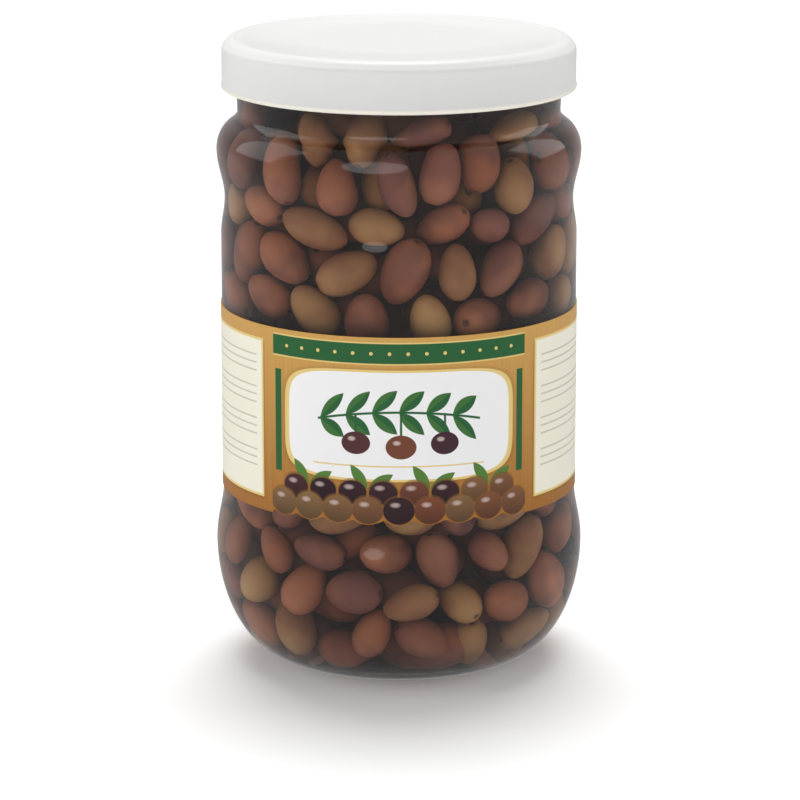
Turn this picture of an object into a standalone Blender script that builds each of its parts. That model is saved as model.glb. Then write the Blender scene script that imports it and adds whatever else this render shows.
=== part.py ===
"""A jar of olives: clear glass jar, white twist-off lid, wrapped paper label and a heap of olives.

Units are metres and +Z is up. The origin is the centre of the flat ring that the jar stands on,
and the label's front faces -Y.
"""
import math
import random

import bmesh
import bpy
import numpy as np
from mathutils import Matrix, Vector

MM = 0.001
GAP = 0.3 * MM                       # clearance between pieces that touch
SEGMENTS = 40                        # sides of every turned piece

# Glass jar, outside
BASE_RADIUS = 33.0 * MM              # outer edge of the standing ring
RING_WIDTH = 4.5 * MM                # flat part of the standing ring
PUSH_UP = 3.2 * MM                   # height of the hollow under the base
HEEL_RADIUS = 53.4 * MM
HEEL_HEIGHT = 34.0 * MM
PANEL_RADIUS = 51.3 * MM             # straight wall behind the label
PANEL_LOW = 50.5 * MM
PANEL_HIGH = 124.6 * MM
WAIST_RADIUS = 50.2 * MM
WAIST_HEIGHT = 135.2 * MM
SHOULDER_RADIUS = 52.4 * MM
SHOULDER_HEIGHT = 149.2 * MM
SHOULDER_ROUND = (7.4 * MM, 8.8 * MM)    # half-axes of the shoulder's curve
SHOULDER_TURN = 60.0                     # degrees of that curve before the neck's fillet
NECK_RADIUS = 46.3 * MM
NECK_ROOT = 160.1 * MM               # where the fillet ends and the neck runs straight
FINISH_RADIUS = 48.6 * MM            # thicker glass ring that the lid grips
FINISH_STEP = 2.0 * MM               # height of the slope from the neck out to that ring
RIM_ROUND = 1.2 * MM

# Glass thickness
WALL = 2.8 * MM
FLOOR = 4.6 * MM

# Lid
LID_RADIUS = 50.7 * MM
LID_BOTTOM = 166.6 * MM
LID_HEIGHT = 14.6 * MM
LID_METAL = 0.9 * MM
LID_CREST_RADIUS = 46.9 * MM         # highest ring of the top
LID_CREST_SLOPE = 2.0 * MM           # width of the slope from the flat panel up to the crest
LID_EDGE = (50.0 * MM, 1.7 * MM)     # shoulder's edge: radius, and depth under the crest
LID_SIDE_DROP = 3.5 * MM             # where the side starts, under the crest
LID_RECESS = 0.6 * MM                # depth of the flat panel under the crest
CURL_RADIUS = 1.1 * MM               # rolled bead at the lid's lower edge
CURL_PROUD = 0.25 * MM               # how far the bead stands out of the side

# Label
LABEL_BOTTOM = 50.6 * MM
LABEL_TOP = 104.5 * MM
LABEL_CLEARANCE = 0.35 * MM
LABEL_PAPER = 0.3 * MM
LABEL_BACK_GAP = 8.0 * MM            # bare glass between the label's two ends
SCALLOP_COUNT = 9                    # arcs cut along the front of the lower edge
SCALLOP_SPAN = 88.0                  # degrees of the front that they take up
SCALLOP_DEPTH = 1.3 * MM
SCALLOP_STEPS = 4

# Olives
OLIVE_HALF_WIDTH = (5.1 * MM, 6.9 * MM)
OLIVE_STRETCH = (1.14, 1.62)         # an olive's length over its width
OLIVE_ROW_PITCH = 11.8 * MM
OLIVE_SPACING = 16.1 * MM
OLIVE_JITTER = 0.25                  # random shift, in rows or in olives of a row
OLIVE_INSET = (1.0, 1.4)             # first place behind the glass, in half-widths
OLIVE_DIPS = (0.15, 0.35, 0.9)       # largest angles in radians by which an end dips from the glass
OLIVE_TOP = 160.5 * MM
OLIVE_SEED = 23
OLIVE_SIDES = 5
OLIVE_RINGS = 4
OLIVE_SWELL = 1.05                   # gives the few-sided olive the bulk of the round one
OLIVE_CLEARANCE = 0.9 * MM           # olive to glass, with room for the glass's flat facets
OLIVE_SPHERES = (-1.0, -0.5, 0.0, 0.5, 1.0)   # where the spheres that fill an olive sit on its axis
SETTLE_STEPS = 40
SETTLE_PUSH = 0.3                    # share of an overlap that one step undoes
SETTLE_PULL = 0.12 * MM              # draw towards the glass in one pass
WALL_PASSES = 2
CORE_DEPTH = 7.4 * MM                # core's surface behind the inside of the glass
CORE_SEGMENTS = 14
CORE_THINNING = 5                    # the core takes every fifth point of the glass's inside


def arc(centre, half_axes, start, end, steps):
    """Points (r, z) on an ellipse's arc between two angles in degrees."""
    angles = [math.radians(start + (end - start) * i / steps) for i in range(steps + 1)]
    return [(centre[0] + half_axes[0] * math.cos(a), centre[1] + half_axes[1] * math.sin(a)) for a in angles]


def ease(start, end, steps):
    """Points (r, z) of a smooth step in radius between two heights, without the first."""
    points = []
    for i in range(1, steps + 1):
        share = i / steps
        weight = 0.5 - 0.5 * math.cos(math.pi * share)
        points.append((start[0] + (end[0] - start[0]) * weight, start[1] + (end[1] - start[1]) * share))
    return points


def bend(start, corner, end, steps):
    """Points (r, z) of a curve that turns once towards a corner, without the first."""
    points = []
    for i in range(1, steps + 1):
        t = i / steps
        weights = ((1 - t) ** 2, 2 * t * (1 - t), t * t)
        points.append(tuple(sum(w * p[k] for w, p in zip(weights, (start, corner, end))) for k in (0, 1)))
    return points


def outer_wall():
    """The jar's outside from the standing ring up to the neck's root."""
    heel = (HEEL_RADIUS, HEEL_HEIGHT)
    waist = (WAIST_RADIUS, WAIST_HEIGHT)
    shoulder = (SHOULDER_RADIUS, SHOULDER_HEIGHT)
    points = arc((BASE_RADIUS, HEEL_HEIGHT), (HEEL_RADIUS - BASE_RADIUS, HEEL_HEIGHT), -90, 0, 6)
    points += ease(heel, (PANEL_RADIUS, PANEL_LOW), 2)
    points += [(PANEL_RADIUS, PANEL_HIGH)]
    points += ease(points[-1], waist, 2)
    points += ease(waist, shoulder, 3)
    rise = arc((SHOULDER_RADIUS - SHOULDER_ROUND[0], SHOULDER_HEIGHT), SHOULDER_ROUND, 0, SHOULDER_TURN, 3)
    points += rise[1:]
    last, before = rise[-1], rise[-2]
    slope = (last[1] - before[1]) / (last[0] - before[0])
    corner = (NECK_RADIUS, last[1] + slope * (NECK_RADIUS - last[0]))
    return points + bend(last, corner, (NECK_RADIUS, NECK_ROOT), 2)


def inner_wall():
    """The jar's inside from its floor's edge up to the neck's root: the outside set in by the glass."""
    outside = outer_wall()
    points = []
    for i, (radius, height) in enumerate(outside):
        before = outside[max(i - 1, 0)]
        after = outside[min(i + 1, len(outside) - 1)]
        along = Vector((after[0] - before[0], after[1] - before[1])).normalized()
        low = max(0.0, 1 - height / HEEL_HEIGHT)
        thickness = WALL + (FLOOR - WALL) * low * low
        points.append((radius - along.y * thickness, height + along.x * thickness))
    points[0] = (BASE_RADIUS, FLOOR)
    return points


def spin_solid(name, profile, segments, smooth_angle=35.0):
    """Turn a profile of (r, z) points, which starts and ends on the Z axis, into one closed object."""
    bm = bmesh.new()
    verts = [bm.verts.new((radius, 0, height)) for radius, height in profile]
    edges = [bm.edges.new(pair) for pair in zip(verts[:-1], verts[1:])]
    bmesh.ops.spin(bm, geom=verts + edges, cent=(0, 0, 0), axis=(0, 0, 1), angle=2 * math.pi,
                   steps=segments, use_merge=True)
    bmesh.ops.remove_doubles(bm, verts=bm.verts, dist=0.002 * MM)
    bmesh.ops.recalc_face_normals(bm, faces=bm.faces)
    return finish_object(name, bm, smooth_angle)


def finish_object(name, bm, smooth_angle):
    """Make an object of a bmesh, smooth shaded where it is round."""
    mesh = bpy.data.meshes.new(name)
    bm.to_mesh(mesh)
    bm.free()
    mesh.shade_smooth()
    mesh.set_sharp_from_angle(angle=math.radians(smooth_angle))
    thing = bpy.data.objects.new(name, mesh)
    bpy.context.scene.collection.objects.link(thing)
    return thing


def give_material(thing, colour, roughness, metallic=0.0, transmission=0.0):
    """Give an object its own Principled material."""
    material = bpy.data.materials.new(thing.name + "_material")
    material.use_nodes = True
    shader = material.node_tree.nodes["Principled BSDF"]
    shader.inputs["Base Color"].default_value = (*colour, 1)
    shader.inputs["Roughness"].default_value = roughness
    shader.inputs["Metallic"].default_value = metallic
    shader.inputs["Transmission Weight"].default_value = transmission
    thing.data.materials.clear()
    thing.data.materials.append(material)


def build_jar():
    """Glass jar: one shell, open at the mouth that the lid closes."""
    rim_top = LID_BOTTOM + LID_HEIGHT - LID_RECESS - LID_METAL - GAP
    inside = inner_wall()
    neck_inside = inside[-1][0]
    finish_low = LID_BOTTOM + 2 * CURL_RADIUS
    under = bend((0, PUSH_UP), (BASE_RADIUS / 2, PUSH_UP), (BASE_RADIUS - RING_WIDTH, 0), 2)
    profile = [(0, PUSH_UP)] + under + outer_wall()
    profile += [(NECK_RADIUS, finish_low), (FINISH_RADIUS, finish_low + FINISH_STEP)]
    profile += arc((FINISH_RADIUS - RIM_ROUND, rim_top - RIM_ROUND), (RIM_ROUND, RIM_ROUND), 0, 90, 1)
    profile += arc((neck_inside + RIM_ROUND, rim_top - RIM_ROUND), (RIM_ROUND, RIM_ROUND), 90, 180, 1)
    profile += inside[::-1]
    profile += [(0, PUSH_UP + FLOOR)]
    jar = spin_solid("jar", profile, SEGMENTS)
    give_material(jar, (0.93, 0.96, 0.95), 0.02, transmission=1.0)
    return jar


def build_lid():
    """Twist-off lid: pressed metal cup with a raised ring on top and a rolled lower edge."""
    crest = LID_BOTTOM + LID_HEIGHT
    inner_radius = LID_RADIUS - LID_METAL
    panel = (LID_CREST_RADIUS - LID_CREST_SLOPE, crest - LID_RECESS)
    outside = [(0, panel[1]), panel] + ease(panel, (LID_CREST_RADIUS, crest), 2)
    edge = (LID_EDGE[0], crest - LID_EDGE[1])
    outside += bend(outside[-1], (edge[0] - LID_METAL, crest), edge, 2)
    outside += bend(edge, (LID_RADIUS, edge[1] - LID_METAL / 2), (LID_RADIUS, crest - LID_SIDE_DROP), 2)
    curl_centre = (LID_RADIUS - CURL_RADIUS + CURL_PROUD, LID_BOTTOM + CURL_RADIUS)
    curl = arc(curl_centre, (CURL_RADIUS, CURL_RADIUS), 40, -180, 5)
    inside = [(inner_radius, LID_BOTTOM + 2 * CURL_RADIUS), (inner_radius, crest - LID_SIDE_DROP)]
    ceiling = crest - LID_RECESS - LID_METAL
    inside += bend(inside[-1], (inner_radius - LID_METAL, ceiling), (LID_CREST_RADIUS, ceiling), 2)
    lid = spin_solid("lid", outside + curl + inside + [(0, ceiling)], SEGMENTS, 50.0)
    give_material(lid, (0.86, 0.86, 0.85), 0.25)
    return lid


def label_lower_edge(angle):
    """Height of the label's lower edge at an angle in degrees from the front."""
    half = SCALLOP_SPAN / 2
    if abs(angle) >= half:
        return LABEL_BOTTOM
    phase = (angle + half) / SCALLOP_SPAN * SCALLOP_COUNT
    return LABEL_BOTTOM + SCALLOP_DEPTH * (1 - abs(math.sin(math.pi * phase)))


def label_angles():
    """Angles in degrees from the front where the label has a station."""
    inner_radius = PANEL_RADIUS + LABEL_CLEARANCE
    end = 180 - math.degrees(LABEL_BACK_GAP / 2 / inner_radius)
    facet = 360 / SEGMENTS
    count = SCALLOP_COUNT * SCALLOP_STEPS
    angles = {round(facet * i, 6) for i in range(-SEGMENTS // 2, SEGMENTS // 2) if abs(facet * i) < end}
    angles |= {round(SCALLOP_SPAN * (i / count - 0.5), 6) for i in range(count + 1)}
    angles |= {-end, end}
    return sorted(angles)


def build_label():
    """Paper label wrapped round the panel, with shallow scallops along the front of its lower edge."""
    inner_radius = PANEL_RADIUS + LABEL_CLEARANCE
    outer_radius = inner_radius + LABEL_PAPER
    bm = bmesh.new()
    stations = []
    for angle in label_angles():
        low = label_lower_edge(angle)
        turn = math.radians(angle)
        across, back = math.sin(turn), -math.cos(turn)
        corners = ((inner_radius, low), (outer_radius, low),
                   (outer_radius, LABEL_TOP), (inner_radius, LABEL_TOP))
        stations.append([bm.verts.new((r * across, r * back, z)) for r, z in corners])
    for first, second in zip(stations[:-1], stations[1:]):
        for i in range(4):
            bm.faces.new((first[i], second[i], second[(i + 1) % 4], first[(i + 1) % 4]))
    bm.faces.new(stations[0])
    bm.faces.new(stations[-1][::-1])
    bmesh.ops.recalc_face_normals(bm, faces=bm.faces)
    label = finish_object("label", bm, 30.0)
    give_material(label, (0.72, 0.50, 0.22), 0.45)
    return label


def wall_distance(centres, wall):
    """Distance of points from the inside of the glass, and the direction away from it.

    centres has one row (x, y, z) each, and wall the (r, z) points of the glass's inside.
    """
    radius = np.hypot(centres[:, 0], centres[:, 1])
    flat = np.stack([radius, centres[:, 2]], axis=1)
    start, end = wall[:-1], wall[1:]
    along = end - start
    share = ((flat[:, None] - start) * along).sum(axis=2) / (along * along).sum(axis=1)
    nearest = start + np.clip(share, 0, 1)[..., None] * along
    offset = flat[:, None] - nearest
    length = np.sqrt((offset * offset).sum(axis=2))
    best = length.argmin(axis=1)
    rows = np.arange(len(flat))
    normal = np.stack([-along[:, 1], along[:, 0]], axis=1) / np.sqrt((along * along).sum(axis=1))[:, None]
    normal = normal[best]
    distance = ((flat - nearest[rows, best]) * normal).sum(axis=1)
    away = np.stack([normal[:, 0] * centres[:, 0] / radius, normal[:, 0] * centres[:, 1] / radius,
                     normal[:, 1]], axis=1)
    return distance, away


def keep_off_glass(centres, axes, halves, wall):
    """Move each olive so that it clears the glass, or draw it gently out towards it.

    An olive is the envelope of spheres along its axis, and each sphere's clearance is exact.
    """
    length, width = halves[:, 0], halves[:, 1]
    reach = (length ** 2 - width ** 2) / length
    gaps, aways = [], []
    for place in OLIVE_SPHERES:
        radius = width * np.sqrt(1 - (place * reach) ** 2 / (length ** 2 - width ** 2))
        found, away = wall_distance(centres + axes * (place * reach)[:, None], wall)
        gaps.append(found - radius - OLIVE_CLEARANCE)
        aways.append(away)
    gaps, aways = np.array(gaps), np.array(aways)
    closest = gaps.argmin(axis=0)
    rows = np.arange(len(centres))
    gap = gaps[closest, rows]
    move = np.where(gap < 0, -gap, -np.minimum(gap, SETTLE_PULL))
    return centres + aways[closest, rows] * move[:, None]


def scatter_olives(wall):
    """First places, directions and half-sizes of the olives that lie against the glass's wall."""
    draw = random.Random(OLIVE_SEED)
    wall = wall[1:]
    steps = wall[1:] - wall[:-1]
    reached = np.concatenate([[0], np.cumsum(np.hypot(steps[:, 0], steps[:, 1]))])
    rows = int(reached[-1] / OLIVE_ROW_PITCH)
    centres, axes, halves = [], [], []
    for row in range(rows):
        middle = float(np.interp((row + 0.5) * OLIVE_ROW_PITCH, reached, wall[:, 0]))
        count = round(2 * math.pi * (middle - OLIVE_HALF_WIDTH[1]) / OLIVE_SPACING)
        for i in range(count):
            at = (row + 0.5 + draw.uniform(-OLIVE_JITTER, OLIVE_JITTER)) * OLIVE_ROW_PITCH
            radius = float(np.interp(at, reached, wall[:, 0]))
            height = float(np.interp(at, reached, wall[:, 1]))
            turn = 2 * math.pi * (i + 0.5 * (row % 2) + draw.uniform(-OLIVE_JITTER, OLIVE_JITTER)) / count
            inset = radius - OLIVE_HALF_WIDTH[1] * draw.uniform(*OLIVE_INSET)
            centres.append((inset * math.cos(turn), inset * math.sin(turn), height))
            lean = draw.uniform(0, math.pi)
            dip = draw.choice(OLIVE_DIPS) * draw.uniform(-1, 1)
            outward = Vector((math.cos(turn), math.sin(turn), 0))
            sideways = Vector((-math.sin(turn), math.cos(turn), 0))
            flat_axis = sideways * math.cos(lean) + Vector((0, 0, 1)) * math.sin(lean)
            axes.append((flat_axis * math.cos(dip) + outward * math.sin(dip))[:])
            half_width = draw.uniform(*OLIVE_HALF_WIDTH)
            halves.append((half_width * draw.uniform(*OLIVE_STRETCH), half_width))
    return np.array(centres), np.array(axes), np.array(halves)


def settle_olives(wall):
    """Push the olives apart and out to the glass. Returns their places, directions and half-sizes."""
    centres, axes, halves = scatter_olives(wall)
    length, width = halves[:, 0], halves[:, 1]
    for _ in range(SETTLE_STEPS):
        between = centres[:, None] - centres
        distance = np.sqrt((between * between).sum(axis=2)) + np.eye(len(centres))
        direction = between / distance[..., None]
        facing = (direction * axes[:, None]).sum(axis=2) ** 2
        reach = width[:, None] + (length - width)[:, None] * facing
        overlap = np.maximum(reach + reach.T - distance, 0) * (1 - np.eye(len(centres)))
        centres = centres + SETTLE_PUSH * (overlap[..., None] * direction).sum(axis=1)
        for _ in range(WALL_PASSES):
            centres = keep_off_glass(centres, axes, halves, wall)
    return centres, axes, halves


def shows(centre):
    """Whether an olive is clear of the label's cover, so that it can be seen."""
    behind_label = LABEL_BOTTOM + OLIVE_HALF_WIDTH[0] < centre[2] < LABEL_TOP - OLIVE_HALF_WIDTH[0]
    at_back_gap = centre[1] > 0 and abs(centre[0]) < LABEL_BACK_GAP
    return centre[2] < OLIVE_TOP and (at_back_gap or not behind_label)


def build_olive(centre, axis, half_length, half_width, collection):
    """One olive with few sides, its long axis along axis, put in a collection."""
    bm = bmesh.new()
    turn = Vector(axis).to_track_quat("Z", "Y").to_matrix().to_4x4()
    size = Matrix.Diagonal((half_width, half_width, half_length, 1))
    bmesh.ops.create_uvsphere(bm, u_segments=OLIVE_SIDES, v_segments=OLIVE_RINGS,
                              radius=OLIVE_SWELL, matrix=Matrix.Translation(centre) @ turn @ size)
    mesh = bpy.data.meshes.new("olive")
    bm.to_mesh(mesh)
    bm.free()
    collection.objects.link(bpy.data.objects.new("olive", mesh))


def keep_outer_shell(mesh):
    """Drop loose scraps and the walls of any hollow that fusing has sealed."""
    bm = bmesh.new()
    bm.from_mesh(mesh)
    left = set(bm.faces)
    shells = []
    while left:
        start = left.pop()
        shell, front = {start}, [start]
        while front:
            face = front.pop()
            near = {other for edge in face.edges for other in edge.link_faces} & left
            left -= near
            shell |= near
            front.extend(near)
        shells.append(shell)
    shells.sort(key=len)
    extra = [face for shell in shells[:-1] for face in shell]
    bmesh.ops.delete(bm, geom=extra, context="FACES")
    bm.to_mesh(mesh)
    bm.free()


def build_olives():
    """Heap of olives: a core with the olives that show along the glass fused on."""
    wall = np.array([(0, PUSH_UP + FLOOR)] + inner_wall() + [(NECK_RADIUS - WALL, LID_BOTTOM)])
    core_low = PUSH_UP + FLOOR + CORE_DEPTH
    core_top = LID_BOTTOM - CORE_DEPTH / 2
    inside = [(radius - CORE_DEPTH, max(height, core_low)) for radius, height in wall[1::CORE_THINNING]]
    profile = [(0, core_low)] + [point for point in inside if point[1] < core_top]
    profile += [(profile[-1][0], core_top), (0, core_top)]
    heap = spin_solid("olives", profile, CORE_SEGMENTS)
    collection = bpy.data.collections.new("olive_pieces")
    for centre, axis, half in zip(*settle_olives(wall)):
        if shows(centre):
            build_olive(centre, axis, half[0], half[1], collection)
    union = heap.modifiers.new("union", "BOOLEAN")
    union.operation = "UNION"
    union.solver = "EXACT"
    union.operand_type = "COLLECTION"
    union.collection = collection
    fused = bpy.data.meshes.new_from_object(heap.evaluated_get(bpy.context.evaluated_depsgraph_get()))
    heap.modifiers.clear()
    heap.data = fused
    for piece in list(collection.objects):
        bpy.data.objects.remove(piece)
    bpy.data.collections.remove(collection)
    keep_outer_shell(fused)
    give_material(heap, (0.16, 0.09, 0.06), 0.35)
    return heap


def main():
    """Clear the scene and build the four pieces."""
    for thing in list(bpy.data.objects):
        bpy.data.objects.remove(thing)
    build_jar()
    build_lid()
    build_label()
    build_olives()


main()
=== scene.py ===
import logging
import math
import random
from dataclasses import dataclass, field
from enum import Enum
from typing import Callable, Iterable, Sequence, Union

import bpy
import numpy as np
from mathutils import Matrix, Vector


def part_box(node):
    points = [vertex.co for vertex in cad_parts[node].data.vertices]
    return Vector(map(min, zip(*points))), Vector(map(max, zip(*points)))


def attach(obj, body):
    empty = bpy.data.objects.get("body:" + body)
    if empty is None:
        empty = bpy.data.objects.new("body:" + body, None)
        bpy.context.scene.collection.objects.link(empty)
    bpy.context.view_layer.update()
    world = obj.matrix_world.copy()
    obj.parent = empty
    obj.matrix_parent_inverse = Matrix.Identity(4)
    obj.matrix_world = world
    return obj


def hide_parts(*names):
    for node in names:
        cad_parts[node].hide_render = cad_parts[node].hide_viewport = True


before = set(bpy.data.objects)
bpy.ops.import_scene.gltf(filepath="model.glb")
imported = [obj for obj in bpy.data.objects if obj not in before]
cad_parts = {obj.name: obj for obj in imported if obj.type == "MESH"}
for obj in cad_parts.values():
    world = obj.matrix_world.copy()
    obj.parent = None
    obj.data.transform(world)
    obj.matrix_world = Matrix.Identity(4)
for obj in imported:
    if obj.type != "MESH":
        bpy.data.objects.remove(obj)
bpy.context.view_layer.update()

MM = 0.001
PHOTO_SIDE = 800                     # pixels along each side of the picture
BODY = "root"
Point = tuple[float, float]
Colour = tuple[float, float, float]
Layer = tuple[np.ndarray, np.ndarray, np.ndarray]      # centres, long axes and half-sizes of olives
log = logging.getLogger("jar")


def arc(centre: Point, half_axes: Point, start: float, end: float, steps: int) -> list[Point]:
    """Points on an ellipse's arc.

    Args:
        centre: Radius and height of the ellipse's centre.
        half_axes: Its half-axes along the radius and the height.
        start: First angle in degrees.
        end: Last angle in degrees.
        steps: How many chords the arc is cut into.

    Returns:
        The (radius, height) points, both ends included.
    """
    angles = [math.radians(start + (end - start) * i / steps) for i in range(steps + 1)]
    return [(centre[0] + half_axes[0] * math.cos(a), centre[1] + half_axes[1] * math.sin(a)) for a in angles]


def ease(start: Point, end: Point, steps: int) -> list[Point]:
    """Points of a smooth step in radius between two heights.

    Args:
        start: Where the step begins, left out of the result.
        end: Where it ends.
        steps: How many chords it has.

    Returns:
        The (radius, height) points after the first.
    """
    points = []
    for i in range(1, steps + 1):
        share = i / steps
        weight = 0.5 - 0.5 * math.cos(math.pi * share)
        points.append((start[0] + (end[0] - start[0]) * weight, start[1] + (end[1] - start[1]) * share))
    return points


def bend(start: Point, corner: Point, end: Point, steps: int) -> list[Point]:
    """Points of a curve that turns once towards a corner.

    Args:
        start: Where the curve begins, left out of the result.
        corner: The point that it turns towards.
        end: Where it ends.
        steps: How many chords it has.

    Returns:
        The (radius, height) points after the first.
    """
    points = []
    for i in range(1, steps + 1):
        t = i / steps
        weights = ((1 - t) ** 2, 2 * t * (1 - t), t * t)
        points.append(tuple(sum(w * p[k] for w, p in zip(weights, (start, corner, end))) for k in (0, 1)))
    return points


class Workshop:
    """Modelling moves that several pieces share."""

    @staticmethod
    def clear_selection() -> None:
        """Leave object mode's selection empty."""
        bpy.ops.object.select_all(action="DESELECT")

    @staticmethod
    def take(thing: bpy.types.Object) -> None:
        """Select one object alone and make it the active one."""
        Workshop.clear_selection()
        thing.select_set(True)
        bpy.context.view_layer.objects.active = thing

    @staticmethod
    def name(name: str) -> bpy.types.Object:
        """Name the active object and its mesh, and return it."""
        thing = bpy.context.object
        thing.name = thing.data.name = name
        return thing

    @staticmethod
    def turn(name: str, profile: Sequence[Point], segments: int, crease: float = 35.0) -> bpy.types.Object:
        """Draw one point out along a profile and spin the line round the Z axis.

        Args:
            name: The new object's name.
            profile: Points (radius, height) from the axis back to the axis.
            segments: Steps of the spin.
            crease: Angle in degrees past which an edge stays sharp.

        Returns:
            The closed, smooth-shaded object.
        """
        Workshop.clear_selection()
        bpy.ops.mesh.primitive_plane_add(size=MM)
        thing = Workshop.name(name)
        bpy.ops.object.mode_set(mode="EDIT")
        bpy.ops.mesh.select_all(action="SELECT")
        bpy.ops.mesh.merge(type="CENTER")
        bpy.ops.transform.translate(value=(profile[0][0], 0, profile[0][1]))
        for before, after in zip(profile[:-1], profile[1:]):
            step = (after[0] - before[0], 0, after[1] - before[1])
            bpy.ops.mesh.extrude_vertices_move(TRANSFORM_OT_translate={"value": step})
        bpy.ops.mesh.select_all(action="SELECT")
        bpy.ops.mesh.spin(steps=segments, angle=2 * math.pi, center=(0, 0, 0), axis=(0, 0, 1))
        bpy.ops.mesh.select_all(action="SELECT")
        bpy.ops.mesh.remove_doubles(threshold=0.002 * MM)
        bpy.ops.mesh.normals_make_consistent(inside=False)
        bpy.ops.object.mode_set(mode="OBJECT")
        bpy.ops.object.shade_smooth_by_angle(angle=math.radians(crease))
        return thing

    @staticmethod
    def pick(thing: bpy.types.Object, wanted: Callable[[Vector], bool]) -> None:
        """Select the vertices whose place is wanted, in vertex mode of edit mode.

        Args:
            thing: The object that is being edited.
            wanted: Says of a vertex's place whether it is selected.
        """
        bpy.ops.mesh.select_mode(type="VERT")
        bpy.ops.mesh.select_all(action="DESELECT")
        bpy.ops.object.mode_set(mode="OBJECT")
        for vertex in thing.data.vertices:
            vertex.select = wanted(vertex.co)
        bpy.ops.object.mode_set(mode="EDIT")

    @staticmethod
    def apply(thing: bpy.types.Object, kind: str, **settings: object) -> None:
        """Add a modifier to an object, set it and apply it.

        Args:
            thing: The object.
            kind: The modifier's type.
            **settings: Its settings by name.
        """
        Workshop.take(thing)
        modifier = thing.modifiers.new(kind.lower(), kind)
        for key, value in settings.items():
            setattr(modifier, key, value)
        bpy.ops.object.modifier_apply(modifier=modifier.name)


class Wire:
    """A shader socket that takes part in Python expressions on numbers."""

    def __init__(self, bench: "Bench", socket: bpy.types.NodeSocket) -> None:
        """Wrap one output socket of a bench's node tree."""
        self.bench = bench
        self.socket = socket

    def math(self, operation: str, *others: "Value", first: bool = True) -> "Wire":
        """Add a Math node.

        Args:
            operation: The node's operation.
            *others: The other operands.
            first: Whether this socket is the first operand, or the last one.

        Returns:
            The node's output.
        """
        operands = (self, *others) if first else (*others, self)
        return self.bench.wire("ShaderNodeMath", {"operation": operation}, dict(enumerate(operands)))

    def __add__(self, other: "Value") -> "Wire":
        """Sum."""
        return self.math("ADD", other)

    def __radd__(self, other: "Value") -> "Wire":
        """Sum with a number on the left."""
        return self.math("ADD", other)

    def __sub__(self, other: "Value") -> "Wire":
        """Difference."""
        return self.math("SUBTRACT", other)

    def __rsub__(self, other: "Value") -> "Wire":
        """Difference from a number on the left."""
        return self.math("SUBTRACT", other, first=False)

    def __mul__(self, other: "Value") -> "Wire":
        """Product."""
        return self.math("MULTIPLY", other)

    def __rmul__(self, other: "Value") -> "Wire":
        """Product with a number on the left."""
        return self.math("MULTIPLY", other)

    def __truediv__(self, other: "Value") -> "Wire":
        """Quotient."""
        return self.math("DIVIDE", other)

    def __pow__(self, other: "Value") -> "Wire":
        """Power."""
        return self.math("POWER", other)

    def __abs__(self) -> "Wire":
        """Distance from zero."""
        return self.math("ABSOLUTE")

    def __neg__(self) -> "Wire":
        """Opposite."""
        return self.math("MULTIPLY", -1.0)

    def floor(self) -> "Wire":
        """Next lower whole number."""
        return self.math("FLOOR")

    def sine(self) -> "Wire":
        """Sine of an angle in radians."""
        return self.math("SINE")

    def least(self, other: "Value") -> "Wire":
        """The lower of two."""
        return self.math("MINIMUM", other)

    def most(self, other: "Value") -> "Wire":
        """The higher of two."""
        return self.math("MAXIMUM", other)

    def cut(self) -> "Wire":
        """Held between 0 and 1."""
        return self.least(1.0).most(0.0)

    def within(self, low: float, high: float, blur: float) -> "Wire":
        """1 between two limits and 0 outside, with edges as wide as blur."""
        return ((self - low) / blur).cut() * ((high - self) / blur).cut()


Value = Union[Wire, float, Colour, tuple[float, float, float, float]]


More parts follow.
